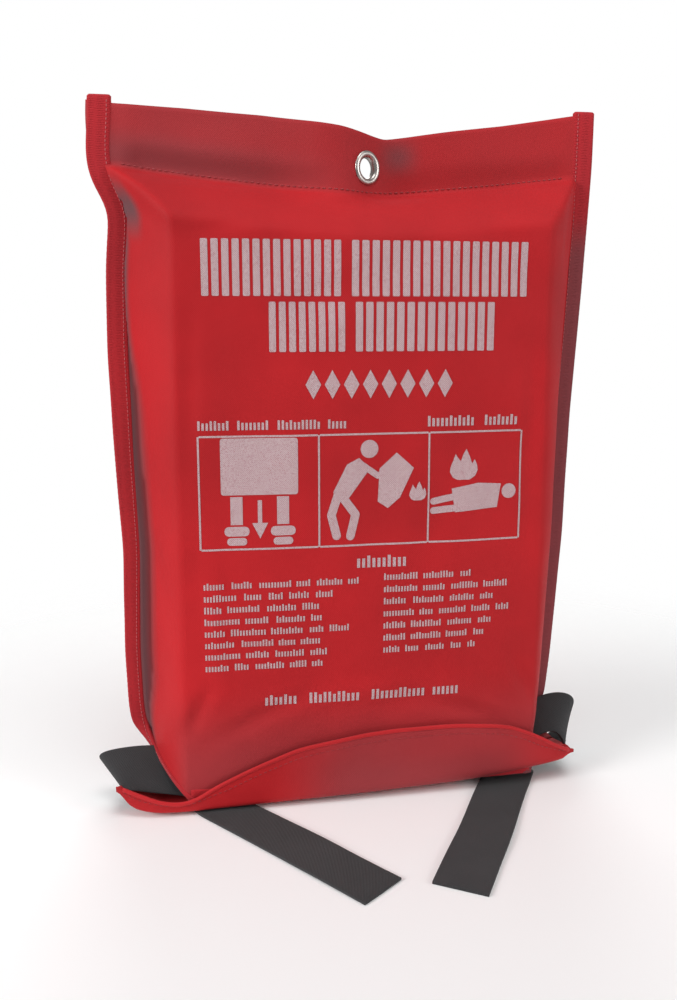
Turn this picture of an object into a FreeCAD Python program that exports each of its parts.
import FreeCAD, Part
import math
import os

# Fire blanket in a soft hanging wallet, standing on a surface, in millimetres.
# Origin: centre of the hanging eyelet. +X is the viewer's right, -Y the printed
# front and +Z up. Each sub-part is one STEP file in parts/.

# Driving dimensions of the wallet. Every x below is from the wallet's middle.
WALLET_W = 290.0            # flat width over the side seams
WALLET_X = -4.0             # the wallet's middle, a little left of the eyelet
TOP_Z = 35.0                # header corners above the eyelet
FLOOR = -370.0              # surface that the wallet stands on
CLOTH = 0.9                 # coated cloth
SEAM_Y = 12.0               # plane where front and back meet at the side seams
FRONT_Y = -26.0             # outer face of the filled front
BACK_Y = 15.0               # inner face of the filled back
HEADER_FLAT = 40.0          # half-width of the flat middle of the header
HEADER_SEAM_Z = -12.0       # stitched line that closes the header
SHOULDER_Z = -40.0          # top of the filled front
FRONT_HALF = 107.0          # half-width of the filled front's flat face
BACK_HALF = 110.0           # half-width of the filled back's flat face
SEAM_IN = 134.0             # where the side flange begins
NOTCH_X = 12.0              # lowest point of the header's V-shaped top edge
NOTCH_Z = 17.0
SEAM_END = FLOOR + 40.0     # side seams stop here and leave a slit for each tape
MOUTH_Z = FLOOR + 8.0       # lower edge of the front panel
MOUTH_HALF = 105.0          # half-width of the front panel below the side seams

# Driving dimensions of the trim
BINDING_W = 11.0
BINDING = 0.6               # thickness of the folded tape
MOUTH_HEM_W = 7.0
THREAD_H = 0.8              # width of a row of stitches
THREAD = 0.4                # and its height above the cloth
GAP = 0.3                   # clearance between parts that move apart
FIT = 0.05                  # clearance between parts sewn or pressed together
REACH = 60.0                # reach of each cut, past every face of the wallet
EYELET_R = 5.5
EYELET_WALL = 0.5
EYELET_RIM_R = 10.0
EYELET_RIM = 1.2
EYELET_LENGTH = 3.0

# Driving dimensions of the closing flap
FLAP_Z = FLOOR + 3.4        # underside of the flap, over the tapes
FLAP_LEFT = -140.0
FLAP_RIGHT = 136.0
LIP_Y = -29.8               # inner face of the lip
LIP_HEM_W = 8.0
STRIP_X = (-25.0, 85.0)     # hook-and-loop closure
STRIP_Z = (FLOOR + 16.0, FLOOR + 32.0)
LOOP = 2.0                  # thickness of the loop strip
HOOK = 1.5                  # and of the hook strip

# Driving dimensions of the blanket and its pull tapes
BLANKET_W = 220.0
BLANKET_Y = (-24.1, 14.5)
BLANKET_H = 300.0
BLANKET_Z = FLOOR + 7.5     # underside of the folded blanket
BLANKET_ROUND = 12.0
BLANKET_CORNER = 45.0
TAPE_W = 30.0
TAPE = 1.5
TAPE_Y = (-20.0, 10.0)      # the tapes' width where they leave the wallet
TAPE_RUN = 101.0            # free length of each tape beyond its swing axis
TAPE_SLIT = 0.9             # clearance between a tape's two stretches at that axis
ROOT_STITCHES_X = (64.0, 80.0)
ROOT_STITCHES_INSET = 3.0   # from the tape's edges
# side: (swing axis centre x, y, then the direction that the tape runs in)
TAPES = {
    "left": (-71.0, -43.5, 0.598, -0.802),
    "right": (79.0, -42.0, -0.5, -0.866),
}
# side: the tape's route from the blanket out of the side slit and back under
# the flap, as (x, height above the surface, radius of the turn)
ROOT_H = BLANKET_Z - FLOOR - TAPE / 2
TUCKS = {
    "left": [(-62, ROOT_H, 0), (-84, ROOT_H, 15), (-120, 33, 15), (-153, 18, 8),
             (-150, TAPE / 2, 3), (-143, TAPE / 2, 0)],
    "right": [(62, ROOT_H, 0), (84, ROOT_H, 15), (118, 37, 12), (149, 28, 8),
              (146, TAPE / 2, 3), (141, TAPE / 2, 0)],
}


def vec(x, y, z):
    return FreeCAD.Vector(x, y, z)


def box(x, y, z):
    """A box from three (low, high) pairs."""
    return Part.makeBox(x[1] - x[0], y[1] - y[0], z[1] - z[0], vec(x[0], y[0], z[0]))


def prism(points, direction):
    """A closed outline of vectors, extruded."""
    return Part.Face(Part.makePolygon(points + points[:1])).extrude(direction)


def cylinder_y(radius, y0, y1):
    return Part.makeCylinder(radius, y1 - y0, vec(0, y0, 0), vec(0, 1, 0))


def mirrored(points):
    """A plan outline's right half, as (x, y) from the middle out, made whole."""
    left = [(-x, y) for x, y in reversed(points)]
    return left + points


def header_plan():
    return mirrored([(HEADER_FLAT, 0.0), (SEAM_IN, SEAM_Y), (WALLET_W / 2, SEAM_Y)])


def front_plan():
    edge = FRONT_Y + CLOTH
    return mirrored([(FRONT_HALF - 1.0, edge), (SEAM_IN, SEAM_Y), (WALLET_W / 2, SEAM_Y)])


def back_plan():
    return mirrored([(BACK_HALF, BACK_Y), (SEAM_IN, SEAM_Y), (WALLET_W / 2, SEAM_Y)])


def offset_plan(plan, distance):
    """The plan line moved sideways, corners mitred. Positive moves it to +Y."""
    normals = []
    for (x0, y0), (x1, y1) in zip(plan, plan[1:]):
        length = math.hypot(x1 - x0, y1 - y0)
        normals.append(((y0 - y1) / length, (x1 - x0) / length))
    moved = []
    for i, (x, y) in enumerate(plan):
        before = normals[max(i - 1, 0)]
        after = normals[min(i, len(normals) - 1)]
        scale = distance / (1.0 + before[0] * after[0] + before[1] * after[1])
        moved.append((x + (before[0] + after[0]) * scale, y + (before[1] + after[1]) * scale))
    return moved


def sheet(sections, inner, outer):
    """A cloth solid through (plan, z) sections, between two sideways offsets."""
    wires = []
    for plan, z in sections:
        ring = offset_plan(plan, inner) + list(reversed(offset_plan(plan, outer)))
        points = [vec(x, y, z) for x, y in ring]
        wires.append(Part.makePolygon(points + points[:1]))
    return Part.makeLoft(wires, True, True)


def header_cut():
    """Everything above the header's V-shaped top edge."""
    half = WALLET_W / 2
    past = half + 5
    outline = [(-past, TOP_Z), (-half, TOP_Z), (NOTCH_X, NOTCH_Z), (half, TOP_Z), (past, TOP_Z),
               (past, TOP_Z + REACH), (-past, TOP_Z + REACH)]
    return prism([vec(x, -REACH, z) for x, z in outline], vec(0, 2 * REACH, 0))


def barrel_hole():
    hole = cylinder_y(EYELET_R + EYELET_WALL + FIT, -REACH, REACH)
    hole.translate(vec(-WALLET_X, 0, 0))
    return hole


def trimmed(panel, half_width):
    """A panel made narrower below the ends of the side seams."""
    for side in (-1, 1):
        x = sorted((side * half_width, side * WALLET_W))
        panel = panel.cut(box(x, (-REACH, REACH), (FLOOR, SEAM_END)))
    return panel


def back_panel():
    bottom = FLAP_Z + CLOTH + GAP
    sections = [(header_plan(), TOP_Z + 10), (header_plan(), HEADER_SEAM_Z),
                (back_plan(), SHOULDER_Z - 10), (back_plan(), bottom)]
    panel = sheet(sections, 0.0, CLOTH).cut(header_cut()).cut(barrel_hole())
    return trimmed(panel, abs(FLAP_LEFT))


def front_panel():
    sections = [(header_plan(), TOP_Z + 10), (header_plan(), HEADER_SEAM_Z),
                (front_plan(), SHOULDER_Z), (front_plan(), MOUTH_Z)]
    panel = sheet(sections, -CLOTH, 0.0).cut(header_cut()).cut(barrel_hole())
    return trimmed(panel, MOUTH_HALF)


def side_binding(side):
    """Tape folded over one side seam: a channel whose open side faces inwards."""
    reach = BINDING + FIT
    outer_y = (SEAM_Y - CLOTH - reach, SEAM_Y + CLOTH + reach)
    inner_y = (SEAM_Y - CLOTH - FIT, SEAM_Y + CLOTH + FIT)
    edge = WALLET_W / 2
    outer_x = sorted((side * (edge + reach), side * (edge + reach - BINDING_W)))
    inner_x = sorted((side * (edge + FIT), side * (edge - 2 * BINDING_W)))
    z = (SEAM_END, TOP_Z + 1.5)
    channel = box(outer_x, outer_y, z)
    return channel.cut(box(inner_x, inner_y, (z[0] - 1, z[1] + 1)))


def side_seam_thread(side):
    front = SEAM_Y - CLOTH - BINDING - FIT
    x = side * (WALLET_W / 2 + BINDING - BINDING_W + 2.5)
    return box((x - THREAD_H / 2, x + THREAD_H / 2), (front - THREAD, front),
               (SEAM_END + 2, TOP_Z - 4))


def header_seam_thread():
    """The line of stitches across the wallet that closes the header."""
    band = sheet([(header_plan(), HEADER_SEAM_Z + 1), (header_plan(), HEADER_SEAM_Z + 1 + THREAD_H)],
                 -CLOTH - THREAD, -CLOTH)
    half = SEAM_IN - 2
    return band.common(box((-half, half), (-REACH, REACH), (HEADER_SEAM_Z, TOP_Z)))


def eyelet_barrel():
    """Tube with its domed front flange in one piece, turned about the Y axis."""
    face = -CLOTH - FIT
    end = face + EYELET_LENGTH
    wall = EYELET_R + EYELET_WALL
    crown = vec((EYELET_R + EYELET_RIM_R) / 2, face - EYELET_RIM, 0)
    bore_front = vec(EYELET_R, face - EYELET_RIM / 2, 0)
    rim = vec(EYELET_RIM_R, face, 0)
    corners = [rim, vec(wall, face, 0), vec(wall, end, 0), vec(EYELET_R, end, 0), bore_front]
    edges = [Part.LineSegment(a, b).toShape() for a, b in zip(corners, corners[1:])]
    edges.append(Part.Arc(bore_front, crown, rim).toShape())
    return Part.Face(Part.Wire(edges)).revolve(vec(0, 0, 0), vec(0, 1, 0), 360)


def eyelet_washer():
    back = CLOTH + FIT
    washer = cylinder_y(EYELET_RIM_R - 0.5, back, back + 0.6)
    return washer.cut(cylinder_y(EYELET_R + EYELET_WALL + FIT, -REACH, REACH))


def mouth_hem():
    """Tape folded over the lower edge of the front panel."""
    x = (-MOUTH_HALF, MOUTH_HALF)
    back = FRONT_Y + CLOTH
    outer = box(x, (FRONT_Y - BINDING, back + BINDING), (MOUTH_Z - BINDING, MOUTH_Z + MOUTH_HEM_W))
    return outer.cut(box(x, (FRONT_Y - FIT, back + FIT), (MOUTH_Z - FIT, MOUTH_Z + 2 * MOUTH_HEM_W)))


def mouth_hem_thread():
    half = MOUTH_HALF - 2
    z = MOUTH_Z + MOUTH_HEM_W - 2
    face = FRONT_Y - BINDING
    return box((-half, half), (face - THREAD, face), (z, z + THREAD_H))


def loop_strip():
    return box(STRIP_X, (FRONT_Y - LOOP, FRONT_Y), STRIP_Z)


def hook_strip():
    return box(STRIP_X, (LIP_Y, LIP_Y + HOOK), STRIP_Z)


def flap_base():
    """Cloth that passes under the mouth, from the back panel's foot to the lip."""
    return box((FLAP_LEFT, FLAP_RIGHT), (LIP_Y + GAP, BACK_Y + CLOTH), (FLAP_Z, FLAP_Z + CLOTH))


def lip_outline():
    """The lip's front view: low at the ends and highest right of the middle."""
    bottom = FLAP_Z + CLOTH + GAP
    top = [(FLAP_RIGHT, 18), (112, 27), (82, 37), (50, 41), (8, 40), (-40, 34), (-75, 22),
           (-107, 11), (FLAP_LEFT, 8)]
    outline = [vec(FLAP_LEFT, LIP_Y, bottom), vec(FLAP_RIGHT, LIP_Y, bottom)]
    return outline + [vec(x, LIP_Y, FLOOR + z) for x, z in top]


def flap_lip():
    return prism(lip_outline(), vec(0, -CLOTH, 0))


def lip_hem():
    """Folded edge sewn along the lip's upper outline, on its outer face."""
    lip = prism(lip_outline(), vec(0, -BINDING, 0))
    lowered = lip.copy()
    lowered.translate(vec(0, 0, -LIP_HEM_W))
    body = box((FLAP_LEFT - 1, FLAP_RIGHT + 1), (-REACH, REACH), (FLOOR + 10, FLOOR + REACH))
    band = lip.cut(lowered).common(body)
    band.translate(vec(0, -CLOTH, 0))
    return band


def lip_strip_thread():
    """Rectangle of stitches that holds the hook strip, seen on the lip's face."""
    face = LIP_Y - CLOTH
    inset = 2.0
    x = (STRIP_X[0] + inset, STRIP_X[1] - inset)
    z = (STRIP_Z[0] + inset, STRIP_Z[0] + 10.0)
    outer = box(x, (face - THREAD, face), z)
    hole_x = (x[0] + THREAD_H, x[1] - THREAD_H)
    hole_z = (z[0] + THREAD_H, z[1] - THREAD_H)
    return outer.cut(box(hole_x, (-REACH, 0), hole_z))


def folded_blanket():
    """The blanket pack: rounded folds and slanted lower corners."""
    half = BLANKET_W / 2
    low, high = BLANKET_Z, BLANKET_Z + BLANKET_H
    y0, y1 = BLANKET_Y
    outline = [vec(-half + BLANKET_CORNER, y0, low), vec(half - BLANKET_CORNER, y0, low),
               vec(half, y0, low + BLANKET_CORNER), vec(half, y0, high),
               vec(-half, y0, high), vec(-half, y0, low + BLANKET_CORNER)]
    pack = prism(outline, vec(0, y1 - y0, 0))
    rims = [edge for edge in pack.Edges
            if min(abs(edge.CenterOfMass.y - y0), abs(edge.CenterOfMass.y - y1)) < 0.01
            and abs(edge.Vertexes[0].Y - edge.Vertexes[-1].Y) < 0.01]
    return pack.makeFillet(BLANKET_ROUND, rims)


def run_corners(side):
    """The left and right ends of a tape's width on its swing axis, and its direction."""
    x, y, dx, dy = TAPES[side]
    half = TAPE_W / 2
    left = vec(x + dy * half, y - dx * half, FLOOR)
    right = vec(x - dy * half, y + dx * half, FLOOR)
    return left, right, vec(dx, dy, 0)


def pull_tape(side):
    """The free end of a pull tape, lying on the surface."""
    left, right, direction = run_corners(side)
    start = direction * FIT
    end = direction * TAPE_RUN
    return prism([left + start, right + start, right + end, left + end], vec(0, 0, TAPE))


def tape_under_flap(side):
    """The tape's run below the flap, from the wallet's end to its swing axis."""
    left, right, direction = run_corners(side)
    left = left - direction * TAPE_SLIT
    right = right - direction * TAPE_SLIT
    outer, inner = (left, right) if side == "left" else (right, left)
    y0, y1 = TAPE_Y
    turn_outer = outer + direction * ((y0 - outer.y) / direction.y)
    turn_inner = inner + direction * ((y1 - inner.y) / direction.y)
    end_x = TUCKS[side][-1][0]
    outline = [vec(end_x, y1, FLOOR), turn_inner, inner, outer, turn_outer, vec(end_x, y0, FLOOR)]
    return prism(outline, vec(0, 0, TAPE))


def ribbon(points):
    """A tape seen edge-on in XZ: straight runs with tangent arcs at each point."""
    path = [vec(x, TAPE_Y[0], FLOOR + z) for x, z, radius in points]
    radii = [radius for x, z, radius in points[1:-1]]
    edges = []
    last = path[0]
    for before, corner, after, radius in zip(path, path[1:], path[2:], radii):
        to_back = (before - corner).normalize()
        to_next = (after - corner).normalize()
        half_turn = (math.pi - to_back.getAngle(to_next)) / 2
        cut = radius * math.tan(half_turn)
        start = corner + to_back * cut
        end = corner + to_next * cut
        middle = (to_back + to_next).normalize()
        mid = corner + middle * (radius / math.cos(half_turn) - radius)
        edges.append(Part.LineSegment(last, start).toShape())
        edges.append(Part.Arc(start, mid, end).toShape())
        last = end
    edges.append(Part.LineSegment(last, path[-1]).toShape())
    face = Part.Wire(edges).makeOffset2D(TAPE / 2, 0, True, False, False)
    return face.extrude(vec(0, TAPE_Y[1] - TAPE_Y[0], 0))


def tape_tuck(side):
    """The tape from the blanket's corner, out of the side slit and back under the flap."""
    return ribbon(TUCKS[side]).fuse(tape_under_flap(side)).removeSplitter()


def tape_stitching(side):
    """Frame of stitches that joins the tape's root to the blanket."""
    sign = -1 if side == "left" else 1
    x = sorted(sign * edge for edge in ROOT_STITCHES_X)
    y = (TAPE_Y[0] + ROOT_STITCHES_INSET, TAPE_Y[1] - ROOT_STITCHES_INSET)
    under = BLANKET_Z - TAPE
    outer = box(x, y, (under - THREAD, under))
    hole_x = (x[0] + THREAD_H, x[1] - THREAD_H)
    hole_y = (y[0] + THREAD_H, y[1] - THREAD_H)
    return outer.cut(box(hole_x, hole_y, (under - 5, under + 1)))


def subparts():
    parts = {
        "back_panel": back_panel(),
        "front_panel": front_panel(),
        "header_seam_thread": header_seam_thread(),
        "mouth_hem": mouth_hem(),
        "mouth_hem_thread": mouth_hem_thread(),
        "loop_strip": loop_strip(),
        "flap_base": flap_base(),
        "flap_lip": flap_lip(),
        "lip_hem": lip_hem(),
        "lip_strip_thread": lip_strip_thread(),
        "hook_strip": hook_strip(),
        "folded_blanket": folded_blanket(),
    }
    for side, sign in (("left", -1), ("right", 1)):
        parts[side + "_side_binding"] = side_binding(sign)
        parts[side + "_seam_thread"] = side_seam_thread(sign)
        parts[side + "_tape_tuck"] = tape_tuck(side)
        parts[side + "_tape_stitching"] = tape_stitching(side)
        parts[side + "_pull_tape"] = pull_tape(side)
    for shape in parts.values():
        shape.translate(vec(WALLET_X, 0, 0))
    parts["eyelet_barrel"] = eyelet_barrel()
    parts["eyelet_washer"] = eyelet_washer()
    return parts


os.makedirs("parts", exist_ok=True)
for name, shape in subparts().items():
    shape.exportStep("parts/" + name + ".step")
    bounds = shape.BoundBox
    print(f"{name:22s} solids {len(shape.Solids)} valid {shape.isValid()} volume {shape.Volume:10.1f} "
          f"x {bounds.XMin:.1f} {bounds.XMax:.1f} y {bounds.YMin:.1f} {bounds.YMax:.1f} "
          f"z {bounds.ZMin:.1f} {bounds.ZMax:.1f}")
